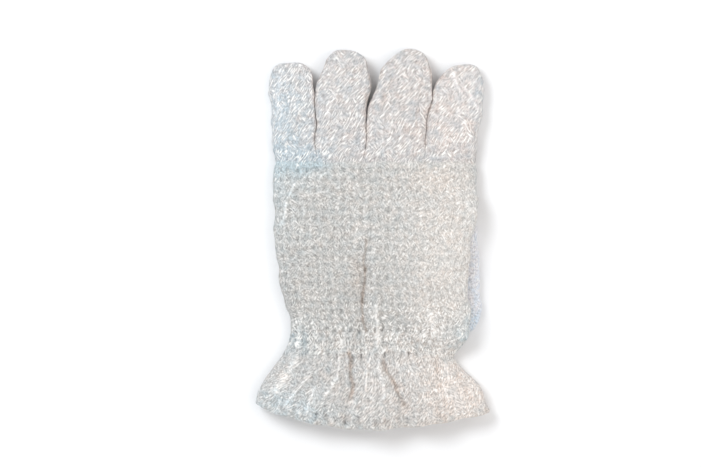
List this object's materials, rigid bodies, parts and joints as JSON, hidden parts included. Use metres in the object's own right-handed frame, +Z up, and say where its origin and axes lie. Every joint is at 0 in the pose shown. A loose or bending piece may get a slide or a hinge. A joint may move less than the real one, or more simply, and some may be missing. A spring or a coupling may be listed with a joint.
{
  "type": "mesh work glove",
  "caption": "White padded-mesh work glove lying back up, with the thumb folded under, a gathered elastic wrist and a flared cuff. Hollow and open at the cuff, so a hand goes in.",
  "frame": {"origin": "on the surface the glove lies on, under the middle of its box", "axes": "+Y to the fingertips, +X to the thumb side, +Z up out of the back of the hand"},
  "size_m": [0.1504, 0.2429, 0.0303],
  "materials": {
    "mesh_hand": "white padded square mesh with a light sheen",
    "mesh_finger": "white padded square mesh, finer and flatter, with a light sheen",
    "mesh_thumb": "white padded square mesh with a faint lavender cast",
    "gathered_mesh": "white mesh shirred over elastic",
    "mesh_cuff": "white padded square mesh in soft folds",
    "hem_band": "white turned and overlocked edge"
  },
  "bodies": {
    "root": {"hand_shell": "mesh_hand", "finger_little": "mesh_finger", "finger_ring": "mesh_finger", "finger_middle": "mesh_finger", "finger_index": "mesh_finger", "thumb": "mesh_thumb", "wrist_elastic": "gathered_mesh", "cuff": "mesh_cuff", "hem": "hem_band"}
  },
  "joints": []
}
